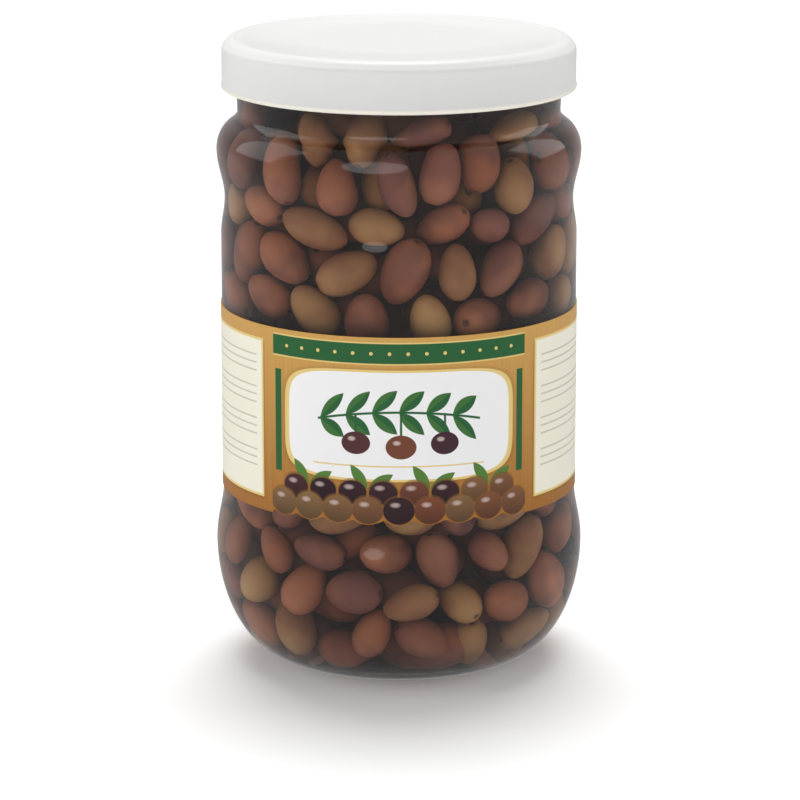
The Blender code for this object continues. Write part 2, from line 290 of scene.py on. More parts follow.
class Bench:
    """A material's node tree while it is being made."""

    def __init__(self, name: str) -> None:
        """Start a material with an empty node tree."""
        self.material = bpy.data.materials.new(name)
        self.material.use_nodes = True
        self.tree = self.material.node_tree
        self.tree.nodes.clear()

    def add(self, kind: str, settings: dict | None = None, inputs: dict | None = None) -> bpy.types.Node:
        """Make a node.

        Args:
            kind: The node's type.
            settings: Its own settings, set first. A ramp's stops are under "stops".
            inputs: Values or links of its sockets, by name or number.

        Returns:
            The node.
        """
        node = self.tree.nodes.new(kind)
        for key, value in (settings or {}).items():
            if key == "stops":
                self.set_stops(node.color_ramp, value)
            else:
                setattr(node, key, value)
        for key, value in (inputs or {}).items():
            socket = node.inputs[key]
            if isinstance(value, Wire):
                self.tree.links.new(value.socket, socket)
            elif isinstance(value, bpy.types.NodeSocket):
                self.tree.links.new(value, socket)
            elif isinstance(value, tuple) and len(value) == 3 and socket.type == "RGBA":
                socket.default_value = (*value, 1.0)
            else:
                socket.default_value = value
        return node

    @staticmethod
    def set_stops(ramp: bpy.types.ColorRamp, stops: Sequence[tuple[float, Colour]]) -> None:
        """Give a colour ramp its stops of (place, colour)."""
        while len(ramp.elements) < len(stops):
            ramp.elements.new(1.0)
        for element, (place, colour) in zip(ramp.elements, stops):
            element.position = place
            element.color = (*colour, 1.0)

    def wire(self, kind: str, settings: dict | None = None, inputs: dict | None = None,
             output: Union[int, str] = 0) -> Wire:
        """Make a node and wrap one of its outputs.

        Args:
            kind: The node's type.
            settings: Its own settings.
            inputs: Values or links of its sockets.
            output: The output's number or name.

        Returns:
            The wrapped output.
        """
        return Wire(self, self.add(kind, settings, inputs).outputs[output])

    def blend(self, share: Value, low: Value, high: Value, way: str = "MIX") -> Wire:
        """Mix two colours.

        Args:
            share: How much of the second colour shows.
            low: The first colour.
            high: The second colour.
            way: The Mix node's blend type.

        Returns:
            The mixed colour.
        """
        return self.wire("ShaderNodeMix", {"data_type": "RGBA", "blend_type": way},
                         {0: share, 6: low, 7: high}, 2)

    def ramp(self, share: Value, stops: Sequence[tuple[float, Colour]]) -> Wire:
        """Colour of a ramp at a share from 0 to 1."""
        return self.wire("ShaderNodeValToRGB", {"stops": stops}, {0: share})

    def place(self) -> Wire:
        """The point's own place on the object, in metres."""
        return self.wire("ShaderNodeTexCoord", output="Object")

    def parts(self, vector: Wire) -> tuple[Wire, Wire, Wire]:
        """The three parts of a vector."""
        node = self.add("ShaderNodeSeparateXYZ", None, {0: vector})
        return tuple(Wire(self, socket) for socket in node.outputs)

    def noise(self, scale: float, detail: float = 2.0, vector: Wire | None = None) -> Wire:
        """Smooth noise from 0 to 1.

        Args:
            scale: Cells in a metre.
            detail: Finer layers on top.
            vector: Where it is read, the object's own place if left out.

        Returns:
            The noise's value.
        """
        where = self.place() if vector is None else vector
        return self.wire("ShaderNodeTexNoise", None, {"Vector": where, "Scale": scale, "Detail": detail})

    def attribute(self, name: str) -> Wire:
        """A number that the mesh carries at each vertex."""
        return self.wire("ShaderNodeAttribute", {"attribute_name": name}, output="Fac")

    def relief(self, height: Wire, distance: float, strength: float = 1.0) -> Wire:
        """Normal of a surface with relief.

        Args:
            height: The relief from 0 to 1.
            distance: Height in metres of a value of 1.
            strength: Share of the relief that shows.

        Returns:
            The bumped normal.
        """
        return self.wire("ShaderNodeBump", None,
                         {"Height": height, "Distance": distance, "Strength": strength})

    def coat(self, inputs: dict) -> bpy.types.Node:
        """Make a Principled shader with these sockets."""
        return self.add("ShaderNodeBsdfPrincipled", None, inputs)

    def close(self, shader: bpy.types.NodeSocket, volume: bpy.types.NodeSocket | None = None) -> bpy.types.Material:
        """End the tree in its output.

        Args:
            shader: The surface's shader.
            volume: The inside's shader, if it has one.

        Returns:
            The finished material.
        """
        ends = {"Surface": shader}
        if volume is not None:
            ends["Volume"] = volume
        self.add("ShaderNodeOutputMaterial", None, ends)
        return self.material

    def clear(self, shader: bpy.types.Node, tint: Colour) -> bpy.types.NodeSocket:
        """Let lamp light and scattered light pass a clear piece without bending.

        Args:
            shader: The clear shader that the eye and its mirrored rays see.
            tint: Colour of the light that passes.

        Returns:
            The mixed shader's output.
        """
        path = self.add("ShaderNodeLightPath")
        passes = Wire(self, path.outputs["Is Shadow Ray"]).most(Wire(self, path.outputs["Is Diffuse Ray"]))
        open_air = self.add("ShaderNodeBsdfTransparent", None, {"Color": tint})
        mixed = self.add("ShaderNodeMixShader", None, {0: passes, 1: shader.outputs[0], 2: open_air.outputs[0]})
        return mixed.outputs[0]


@dataclass(frozen=True)
class GlassFinish:
    """Clear moulded glass with the faint waviness of a blown wall."""

    tint: Colour = (0.985, 0.992, 0.988)
    roughness: float = 0.0
    index: float = 1.5
    wave_scale: float = 28.0
    wave_depth: float = 0.10 * MM

    def material(self, name: str, mirror: float) -> bpy.types.Material:
        """Make the glass.

        Args:
            name: The material's name.
            mirror: Share of the plain glass's reflection, less where the glass is wet.

        Returns:
            The glass material.
        """
        bench = Bench(name)
        wave = bench.relief(bench.noise(self.wave_scale, 1.0), self.wave_depth)
        shader = bench.coat({"Base Color": self.tint, "Roughness": self.roughness, "IOR": self.index,
                             "Specular Tint": (mirror, mirror, mirror), "Transmission Weight": 1.0,
                             "Normal": wave})
        return bench.close(bench.clear(shader, self.tint))


@dataclass(frozen=True)
class BrineFinish:
    """Brown pickling liquid that darkens with depth."""

    index: float = 1.34
    mirror: float = 0.05
    colour: Colour = (0.52, 0.30, 0.19)
    density: float = 50.0

    def material(self) -> bpy.types.Material:
        """Make the brine, which hardly reflects where it wets the glass."""
        bench = Bench("brine")
        shader = bench.coat({"Base Color": (1.0, 1.0, 1.0), "Roughness": 0.0, "IOR": self.index,
                             "Specular Tint": (self.mirror, self.mirror, self.mirror),
                             "Transmission Weight": 1.0})
        inside = bench.add("ShaderNodeVolumeAbsorption", None, {"Color": self.colour, "Density": self.density})
        return bench.close(bench.clear(shader, (1.0, 1.0, 1.0)), inside.outputs[0])


@dataclass(frozen=True)
class EnamelFinish:
    """White gloss enamel on pressed metal, a little warmer on the rolled edge."""

    white: Colour = (0.75, 0.75, 0.74)
    edge: Colour = (0.84, 0.80, 0.70)
    edge_height: float = 1.6 * MM
    low: float = 0.0
    roughness: float = 0.28

    def material(self) -> bpy.types.Material:
        """Make the enamel."""
        bench = Bench("lid_enamel")
        height = bench.parts(bench.place())[2]
        rolled = ((self.low + self.edge_height - height) / (0.6 * MM)).cut()
        mottle = bench.noise(60.0, 2.0)
        colour = bench.blend(rolled, self.white, self.edge)
        colour = bench.blend(mottle * 0.04, colour, (0.72, 0.73, 0.74))
        roughness = self.roughness + bench.noise(350.0, 2.0) * 0.06
        peel = bench.relief(bench.noise(700.0, 1.0), 0.012 * MM)
        shader = bench.coat({"Base Color": colour, "Roughness": roughness, "Specular IOR Level": 0.12,
                             "Normal": peel})
        return bench.close(shader.outputs[0])


class OliveKind(Enum):
    """Ripeness of an olive; Heap.build gives each ripeness its share of the heap."""

    TAN = "tan"
    BROWN = "brown"
    PURPLE = "purple"


@dataclass(frozen=True)
class OliveFinish:
    """Moist olive skin of one ripeness."""

    kind: OliveKind
    light: Colour
    deep: Colour
    blush: Colour
    blush_share: float = 0.6
    stem: Colour = (0.06, 0.035, 0.02)

    def material(self) -> bpy.types.Material:
        """Make the skin."""
        bench = Bench("olive_" + self.kind.value)
        tone = bench.attribute("tone")
        along = bench.attribute("along")
        colour = bench.blend(tone, self.light, self.deep)
        blush = ((bench.noise(70.0, 2.0) - 0.44) / 0.16).cut()
        colour = bench.blend(blush * self.blush_share, colour, self.blush)
        mottle = ((bench.noise(230.0, 1.0) - 0.40) / 0.35).cut()
        colour = bench.blend(mottle * 0.18, colour, self.deep)
        scar = ((along - 0.90) / 0.05).cut()
        colour = bench.blend(scar * 0.8, colour, self.stem)
        wrinkle = bench.relief(bench.noise(120.0, 1.0), 0.14 * MM)
        roughness = 0.45 + mottle * 0.12
        shader = bench.coat({"Base Color": colour, "Roughness": roughness, "Specular IOR Level": 0.05,
                             "Normal": wrinkle})
        return bench.close(shader.outputs[0])


@dataclass(frozen=True)
class CoreShadeFinish:
    """The middle of the heap, painted dark brown as shade between the olives, seen only in the gaps."""

    # painted shade: these dark browns stand in for the shaded olives deep in the heap
    deep: Colour = (0.15, 0.085, 0.066)
    lighter: Colour = (0.24, 0.125, 0.095)

    def material(self) -> bpy.types.Material:
        """Make the inside, painted dark as shade."""
        bench = Bench("olive_core")
        patches = ((bench.noise(75.0, 2.0) - 0.4) / 0.3).cut()
        colour = bench.blend(patches, self.deep, self.lighter)
        lumps = bench.relief(bench.noise(75.0, 1.0), 4 * MM)
        shader = bench.coat({"Base Color": colour, "Roughness": 0.6, "Specular IOR Level": 0.1, "Normal": lumps})
        return bench.close(shader.outputs[0])


@dataclass(frozen=True)
class PaperFinish:
    """Printed label: golden ground, cream side panels, green bands and simple olive shapes.

    The print is drawn in millimetres: across from the middle of the front, and up from the lower edge.
    """

    height: float
    pitch: float
    gold_top: Colour = (0.60, 0.34, 0.085)
    gold_low: Colour = (0.36, 0.135, 0.016)
    cream: Colour = (0.86, 0.83, 0.70)
    white: Colour = (0.86, 0.86, 0.86)
    green: Colour = (0.018, 0.120, 0.034)
    leaf: Colour = (0.085, 0.21, 0.035)
    pale_gold: Colour = (0.76, 0.57, 0.20)
    bar: Colour = (0.26, 0.25, 0.21)
    shadow: Colour = (0.17, 0.072, 0.010)
    panel_start: float = 43.0
    panel_end: float = 118.0
    panel_margin: float = 3.8
    window: Point = (33.2, 15.4)
    window_height: float = 28.6
    band: Point = (46.4, 52.2)
    front: float = 39.0
    stem_height: float = 32.6
    leaf_pitch: float = 7.6
    leaf_pairs: int = 6
    leaf_size: Point = (9.6, 1.9)
    leaf_lean: float = 0.72

    def ground(self, bench: Bench, across: Wire, up: Wire) -> Wire:
        """Golden ground, lighter at the top, with faint upright streaks."""
        spot = bench.wire("ShaderNodeCombineXYZ", None, {0: across * 0.9, 1: up * 0.02})
        streaks = bench.wire("ShaderNodeTexNoise", None, {"Vector": spot, "Scale": 1.0, "Detail": 3.0})
        share = (up / self.height + (streaks - 0.5) * 0.5).cut()
        return bench.blend(share, self.gold_low, self.gold_top)

    def box(self, across: Wire, up: Wire, middle: Point, half: Point, blur: float = 0.15) -> Wire:
        """Share of an upright rectangle at a point of the print."""
        wide = ((half[0] - abs(across - middle[0])) / blur).cut()
        return wide * ((half[1] - abs(up - middle[1])) / blur).cut()

    def oval(self, across: Wire, up: Wire, middle: tuple[Value, Value], half: Point, blur: float = 0.06) -> Wire:
        """Share of an ellipse at a point of the print."""
        x = (across - middle[0]) / half[0]
        y = (up - middle[1]) / half[1]
        return ((1 - (x * x + y * y)) / blur).cut()

    def side_panels(self, bench: Bench, across: Wire, up: Wire, colour: Wire) -> Wire:
        """Cream panels to both sides, with a drop shadow, a pale edge and thin plain bars."""
        side = abs(across)
        middle = (self.panel_start + self.panel_end) / 2
        half = (self.panel_end - self.panel_start) / 2
        centre_up = self.height / 2
        half_up = self.height / 2 - self.panel_margin
        dropped = self.box(side, up, (middle - 0.4, centre_up - 0.5), (half + 0.4, half_up + 0.3), 1.1)
        colour = bench.blend(dropped * 0.7, colour, self.shadow)
        colour = bench.blend(self.box(side, up, (middle, centre_up), (half, half_up)), colour, self.pale_gold)
        inside = self.box(side, up, (middle, centre_up), (half - 0.55, half_up - 0.55), 0.5)
        colour = bench.blend(inside, colour, self.cream)
        row = (up / 2.3).floor()
        in_row = up / 2.3 - row
        length = bench.wire("ShaderNodeTexWhiteNoise", {"noise_dimensions": "1D"}, {"W": row})
        group = (((row / 4).floor() * 4 - row + 0.5) * 4).cut()
        bars = in_row.within(0.36, 0.62, 0.08) * ((32.0 + length * 16.0 - (side - self.panel_start)) / 0.3).cut()
        bars = bars * ((side - self.panel_start - 3.0) / 0.3).cut() * (1 - group)
        bars = bars * up.within(self.panel_margin + 8.0, self.height - self.panel_margin - 4.0, 0.2)
        return bench.blend(bars * 0.55, colour, self.bar)

    def window_panel(self, bench: Bench, across: Wire, up: Wire, colour: Wire) -> Wire:
        """White rounded window with a gold rim and slim green bars beside it."""
        side = abs(across)
        bars = self.box(side, up, (self.window[0] + 3.8, self.window_height - 1.0), (1.2, self.window[1] - 0.6))
        colour = bench.blend(bars, colour, self.green)
        x = side / self.window[0]
        y = abs(up - self.window_height) / self.window[1]
        measure = (x ** 5 + y ** 5) ** 0.2
        shade = ((1.09 - measure) / 0.09).cut()
        colour = bench.blend(shade * 0.55, colour, self.shadow)
        colour = bench.blend(((1.045 - measure) / 0.008).cut(), colour, self.pale_gold)
        return bench.blend(((1.0 - measure) / 0.008).cut(), colour, self.white)

    def top_band(self, bench: Bench, across: Wire, up: Wire, colour: Wire) -> Wire:
        """Straight green band under the upper edge, with gold lines and a row of dots."""
        side = abs(across)
        low, high = self.band
        middle = (low + high) / 2
        colour = bench.blend(self.box(side, up, (0, middle), (self.front, (high - low) / 2 + 0.4)), colour,
                             self.pale_gold)
        colour = bench.blend(self.box(side, up, (0, middle), (self.front, (high - low) / 2)), colour, self.green)
        cell = across / 5.2
        x = (cell - cell.floor() - 0.5) * 5.2
        dots = self.oval(x, up, (0, middle), (0.55, 0.55), 0.3) * ((self.front - 4.0 - side) / 0.2).cut()
        return bench.blend(dots, colour, self.pale_gold)

    def leaves(self, bench: Bench, x: Wire, y: Wire, tilt: float, size: Point) -> Wire:
        """Share of a pointed leaf that starts at the origin and leans by tilt, in radians."""
        ahead = x * math.cos(tilt) + y * math.sin(tilt)
        aside = y * math.cos(tilt) - x * math.sin(tilt)
        share = (ahead / size[0]).cut()
        width = share * (1 - share) * (4 * size[1])
        return ((width - abs(aside)) / 0.12).cut()

    def sprig(self, bench: Bench, across: Wire, up: Wire, colour: Wire) -> Wire:
        """Olive sprig in the window: a bowed stem with pairs of leaves, three fruits and a gold line."""
        height = up - self.stem_height + across * across * 0.005
        cell = (across / self.leaf_pitch).floor()
        x = across - cell * self.leaf_pitch
        reach = self.leaf_pairs / 2
        inside = ((reach - abs(cell + 0.5)) / 0.2).cut()
        stem_end = ((reach * self.leaf_pitch + 0.8 - abs(across)) / 0.2).cut()
        stem = ((0.4 - abs(height)) / 0.12).cut() * stem_end
        leaf = self.leaves(bench, x, abs(height), self.leaf_lean, self.leaf_size) * inside
        colour = bench.blend(leaf.most(stem), colour, self.green)
        off_vein = abs(height) * math.cos(self.leaf_lean) - x * math.sin(self.leaf_lean)
        colour = bench.blend((off_vein / 0.1).cut() * leaf * 0.45, colour, self.leaf)
        for middle, half, tone in (((-12.2, 23.6), (4.2, 3.3), (0.085, 0.026, 0.030)),
                                   ((0.6, 22.6), (4.4, 3.5), (0.17, 0.052, 0.024)),
                                   ((13.0, 23.5), (4.1, 3.3), (0.055, 0.020, 0.030))):
            stalk = self.box(across, up, (middle[0], (middle[1] + self.stem_height) / 2 - 0.4),
                             (0.4, (self.stem_height - middle[1]) / 2))
            colour = bench.blend(stalk, colour, self.green)
            colour = bench.blend(self.oval(across, up, middle, half), colour, tone)
            shine = self.oval(across, up, (middle[0] - 1.2, middle[1] + 1.2), (1.3, 0.8), 0.8)
            colour = bench.blend(shine * 0.6, colour, (0.80, 0.66, 0.60))
        return bench.blend(self.box(across, up, (0.0, 17.0), (25.0, 0.28)), colour, self.pale_gold)

    def fruit_row(self, bench: Bench, across: Wire, up: Wire, colour: Wire, count: int, middle: float,
                  half: Point) -> Wire:
        """A row of so many simple printed olives, as far apart as the lower edge's scallops."""
        shift = 0.5 * (count % 2)
        place = across / self.pitch + shift
        cell = place.floor()
        x = (place - cell - 0.5) * self.pitch
        inside = ((count / 2 - abs(cell + 0.5 - shift)) / 0.2).cut()
        tone = bench.wire("ShaderNodeTexWhiteNoise", {"noise_dimensions": "1D"}, {"W": cell + shift * 7.0})
        fruit = self.oval(x, up, (0.0, middle), half) * inside
        skin = bench.ramp(tone, ((0.0, (0.030, 0.011, 0.018)), (0.4, (0.085, 0.024, 0.026)),
                                 (0.65, (0.22, 0.065, 0.026)), (1.0, (0.24, 0.135, 0.050))))
        y = (up - middle) / half[1]
        shaded = bench.blend((0.5 - y * 0.5).cut() * 0.6, skin, (0.012, 0.005, 0.007))
        rim = self.oval(x, up, (0.0, middle + 0.25), (half[0] + 0.35, half[1] + 0.35)) * inside
        colour = bench.blend(rim * 0.6, colour, self.shadow)
        colour = bench.blend(fruit, colour, shaded)
        shine = self.oval(x, up, (-1.0, middle + half[1] * 0.42), (1.7, 0.9), 1.0) * fruit
        return bench.blend(shine * 0.6, colour, (0.72, 0.58, 0.54))

    def leaf_row(self, bench: Bench, across: Wire, up: Wire, colour: Wire) -> Wire:
        """Leaves that stand out above the printed olives."""
        pitch = self.pitch * 2
        cell = (across / pitch).floor()
        x = across - (cell + 0.5) * pitch
        inside = ((2.0 - abs(cell + 0.5)) / 0.2).cut()
        for side, tilt in ((x.most(0.0), 0.55), (-(x.least(0.0)), 0.95)):
            leaf = self.leaves(bench, side, up - 10.4, tilt, (8.5, 1.6)) * inside
            colour = bench.blend(leaf, colour, self.leaf)
        return colour

    def material(self) -> bpy.types.Material:
        """Make the printed paper."""
        bench = Bench("label_paper")
        print_place = bench.wire("ShaderNodeUVMap", {"uv_map": "print"})
        across, up, _ = bench.parts(print_place)
        colour = self.ground(bench, across, up)
        colour = self.side_panels(bench, across, up, colour)
        colour = self.top_band(bench, across, up, colour)
        colour = self.window_panel(bench, across, up, colour)
        colour = self.sprig(bench, across, up, colour)
        colour = self.leaf_row(bench, across, up, colour)
        colour = self.fruit_row(bench, across, up, colour, 8, 9.3, (4.1, 3.5))
        colour = self.fruit_row(bench, across, up, colour, 9, 4.2, (4.5, 4.0))
        fibre = bench.relief(bench.noise(900.0, 3.0), 0.01 * MM)
        roughness = 0.38 + bench.noise(500.0, 2.0) * 0.08
        shader = bench.coat({"Base Color": colour, "Roughness": roughness, "Specular IOR Level": 0.3,
                             "Normal": fibre})
        return bench.close(shader.outputs[0])


@dataclass
class GlassJar:
    """The glass: a shell with a heel and a shoulder that stand proud of the label panel."""

    base_radius: float = 33.0 * MM
    ring_width: float = 4.5 * MM
    push_up: float = 3.2 * MM
    heel: Point = (53.4 * MM, 34.0 * MM)
    panel_radius: float = 51.3 * MM
    panel_low: float = 50.5 * MM
    panel_high: float = 124.6 * MM
    waist: Point = (50.2 * MM, 135.2 * MM)
    shoulder: Point = (52.4 * MM, 149.2 * MM)
    shoulder_round: Point = (7.4 * MM, 8.8 * MM)
    shoulder_turn: float = 60.0
    neck_radius: float = 46.3 * MM
    neck_root: float = 160.1 * MM
    finish_radius: float = 48.6 * MM
    rim_round: float = 1.2 * MM
    wall: float = 2.8 * MM
    floor: float = 4.6 * MM
    segments: int = 160
    fineness: int = 5
    dry_mirror: float = 1.0
    wet_mirror: float = 0.05
    finish: GlassFinish = field(default_factory=GlassFinish)

    def is_wet(self, centre: Vector, normal: Vector) -> bool:
        """Whether a face of the glass, given its centre and normal, lies inside the jar."""
        faces_in = centre.x * normal.x + centre.y * normal.y < 0
        on_floor = normal.z > 0.5 and centre.z < self.heel[1]
        return centre.z > self.push_up and (faces_in or on_floor)

    def outer_wall(self, fine: int = 1) -> list[Point]:
        """The outside from the standing ring up to the neck's root.

        Args:
            fine: How many times the solid model's steps each stretch has.

        Returns:
            The (radius, height) points.
        """
        points = arc((self.base_radius, self.heel[1]), (self.heel[0] - self.base_radius, self.heel[1]),
                     -90, 0, 6 * fine)
        points += ease(self.heel, (self.panel_radius, self.panel_low), 2 * fine)
        points += [(self.panel_radius, self.panel_high)]
        points += ease(points[-1], self.waist, 2 * fine)
        points += ease(self.waist, self.shoulder, 3 * fine)
        centre = (self.shoulder[0] - self.shoulder_round[0], self.shoulder[1])
        rise = arc(centre, self.shoulder_round, 0, self.shoulder_turn, 3 * fine)
        points += rise[1:]
        last, before = rise[-1], rise[-2]
        slope = (last[1] - before[1]) / (last[0] - before[0])
        corner = (self.neck_radius, last[1] + slope * (self.neck_radius - last[0]))
        return points + bend(last, corner, (self.neck_radius, self.neck_root), 2 * fine)

    def inner_wall(self, fine: int = 1, deeper: float = 0.0) -> list[Point]:
        """The inside from the floor's edge up to the neck's root.

        Args:
            fine: How many times the solid model's steps each stretch has.
            deeper: How far into the glass the line lies, in metres.

        Returns:
            The (radius, height) points.
        """
        outside = self.outer_wall(fine)
        points = []
        for i, (radius, height) in enumerate(outside):
            before = outside[max(i - 1, 0)]
            after = outside[min(i + 1, len(outside) - 1)]
            along = Vector((after[0] - before[0], after[1] - before[1])).normalized()
            low = max(0.0, 1 - height / self.heel[1])
            thickness = self.wall + (self.floor - self.wall) * low * low - deeper
            points.append((radius - along.y * thickness, height + along.x * thickness))
        points[0] = (self.base_radius, self.floor - deeper)
        return points

    def build(self, lid: "Lid") -> bpy.types.Object:
        """Turn the glass and dress it.

        Args:
            lid: The lid that closes the mouth.

        Returns:
            The glass piece.
        """
        inside = self.inner_wall(self.fineness)
        neck_inside = inside[-1][0]
        finish_low = lid.low + 2 * lid.curl_radius
        rim_top = lid.low + lid.height - lid.recess - lid.metal - 0.3 * MM
        rounding = (self.rim_round, self.rim_round)
        profile = [(0, self.push_up)]
        profile += bend(profile[0], (self.base_radius / 2, self.push_up), (self.base_radius - self.ring_width, 0), 10)
        profile += self.outer_wall(self.fineness)
        profile += ease((self.neck_radius, finish_low), (self.finish_radius, finish_low + 2 * MM), 4)
        profile += arc((self.finish_radius - self.rim_round, rim_top - self.rim_round), rounding, 0, 90, 4)
        profile += arc((neck_inside + self.rim_round, rim_top - self.rim_round), rounding, 90, 180, 4)
        profile += inside[::-1] + [(0, self.push_up + self.floor)]
        jar = Workshop.turn("glass_jar", profile, self.segments)
        jar.data.materials.append(self.finish.material("glass", self.dry_mirror))
        jar.data.materials.append(self.finish.material("glass_wet", self.wet_mirror))
        for face in jar.data.polygons:
            face.material_index = int(self.is_wet(face.center, face.normal))
        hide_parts("jar")
        return jar


@dataclass
class Lid:
    """Twist-off lid: pressed metal cup with a raised ring on top and a rolled lower edge."""

    low: float
    height: float
    radius: float = 50.7 * MM
    metal: float = 0.9 * MM
    crest_radius: float = 46.9 * MM
    crest_slope: float = 2.0 * MM
    edge: Point = (50.0 * MM, 1.7 * MM)
    side_drop: float = 3.5 * MM
    recess: float = 0.6 * MM
    curl_radius: float = 1.1 * MM
    curl_proud: float = 0.25 * MM
    segments: int = 160

    def build(self) -> bpy.types.Object:
        """Turn the lid and dress it. Returns the lid."""
        crest = self.low + self.height
        inner = self.radius - self.metal
        panel = (self.crest_radius - self.crest_slope, crest - self.recess)
        profile = [(0, panel[1]), (panel[0] * 0.6, panel[1]), panel] + ease(panel, (self.crest_radius, crest), 6)
        edge = (self.edge[0], crest - self.edge[1])
        profile += bend(profile[-1], (edge[0] - self.metal, crest), edge, 6)
        profile += bend(edge, (self.radius, edge[1] - self.metal / 2), (self.radius, crest - self.side_drop), 6)
        curl_centre = (self.radius - self.curl_radius + self.curl_proud, self.low + self.curl_radius)
        profile += arc(curl_centre, (self.curl_radius, self.curl_radius), 40, -180, 14)
        ceiling = crest - self.recess - self.metal
        profile += [(inner, self.low + 2 * self.curl_radius), (inner, crest - self.side_drop)]
        profile += bend(profile[-1], (inner - self.metal, ceiling), (self.crest_radius, ceiling), 4)
        lid = Workshop.turn("lid_cup", profile + [(0, ceiling)], self.segments, 40.0)
        lid.data.materials.append(EnamelFinish(low=self.low).material())
        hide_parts("lid")
        return lid


@dataclass
class Label:
    """Paper label wrapped round the panel, its lower edge cut in shallow scallops along the front."""

    low: float
    high: float
    glass_radius: float
    clearance: float = 0.03 * MM
    paper: float = 0.26 * MM
    back_gap: float = 8.0 * MM
    scallops: int = 9
    scallop_span: float = 88.0
    scallop_depth: float = 1.3 * MM
    columns: int = 450

    def lower_edge(self, angle: float) -> float:
        """Height of the lower edge above the label's lowest line, at an angle in degrees from the front."""
        half = self.scallop_span / 2
        if abs(angle) >= half:
            return 0.0
        phase = (angle + half) / self.scallop_span * self.scallops
        return self.scallop_depth * (1 - abs(math.sin(math.pi * phase)))

    def angle(self, place: Vector) -> float:
        """Angle in degrees of a place from the front."""
        return math.degrees(math.atan2(place.x, -place.y))

    def build(self) -> bpy.types.Object:
        """Wrap the label, cut its edge, give it thickness and its print. Returns the label."""
        radius = self.glass_radius + self.clearance
        height = self.high - self.low
        Workshop.clear_selection()
        bpy.ops.mesh.primitive_cylinder_add(vertices=self.columns, radius=radius, depth=height,
                                            end_fill_type="NOTHING", location=(0, 0, self.low + height / 2))
        label = Workshop.name("label_wrap")
        bpy.ops.object.transform_apply(location=True, rotation=True, scale=True)
        end = 180 - math.degrees(self.back_gap / 2 / radius)
        bpy.ops.object.mode_set(mode="EDIT")
        Workshop.pick(label, lambda place: abs(self.angle(place)) > end)
        bpy.ops.mesh.delete(type="VERT")
        bpy.ops.object.mode_set(mode="OBJECT")
        self.cut_scallops(label)
        Workshop.apply(label, "SOLIDIFY", thickness=self.paper, offset=1.0)
        self.draw_print(label, radius + self.paper)
        bpy.ops.object.shade_smooth_by_angle(angle=math.radians(30))
        pitch = math.radians(self.scallop_span / self.scallops) * (radius + self.paper) / MM
        label.data.materials.append(PaperFinish(height=height / MM, pitch=pitch).material())
        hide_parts("label")
        return label

    def cut_scallops(self, label: bpy.types.Object) -> None:
        """Raise the lower edge between the scallops' lowest points."""
        for vertex in label.data.vertices:
            if vertex.co.z < self.low + MM:
                vertex.co.z += self.lower_edge(self.angle(vertex.co))

    def draw_print(self, label: bpy.types.Object, radius: float) -> None:
        """Give each corner its place on the print: millimetres across and up."""
        layer = label.data.uv_layers.new(name="print")
        places = label.data.vertices
        for loop, corner in zip(label.data.loops, layer.uv):
            place = places[loop.vertex_index].co
            across = math.radians(self.angle(place)) * radius
            corner.vector = (across / MM, (place.z - self.low) / MM)


@dataclass
class Brine:
    """The liquid: a turned body that reaches just into the glass, its top hidden under the lid."""

    jar: GlassJar
    level: float
    bite: float = 0.3 * MM
    segments: int = 160
    finish: BrineFinish = field(default_factory=BrineFinish)

    def build(self) -> bpy.types.Object:
        """Turn the liquid and dress it. Returns the brine."""
        side = self.jar.inner_wall(self.jar.fineness, self.bite)
        bottom = (0, self.jar.push_up + self.jar.floor - self.bite)
        brine = Workshop.turn("brine", [bottom] + side + [(side[-1][0], self.level), (0, self.level)],
                              self.segments)
        brine.data.materials.append(self.finish.material())
        return brine


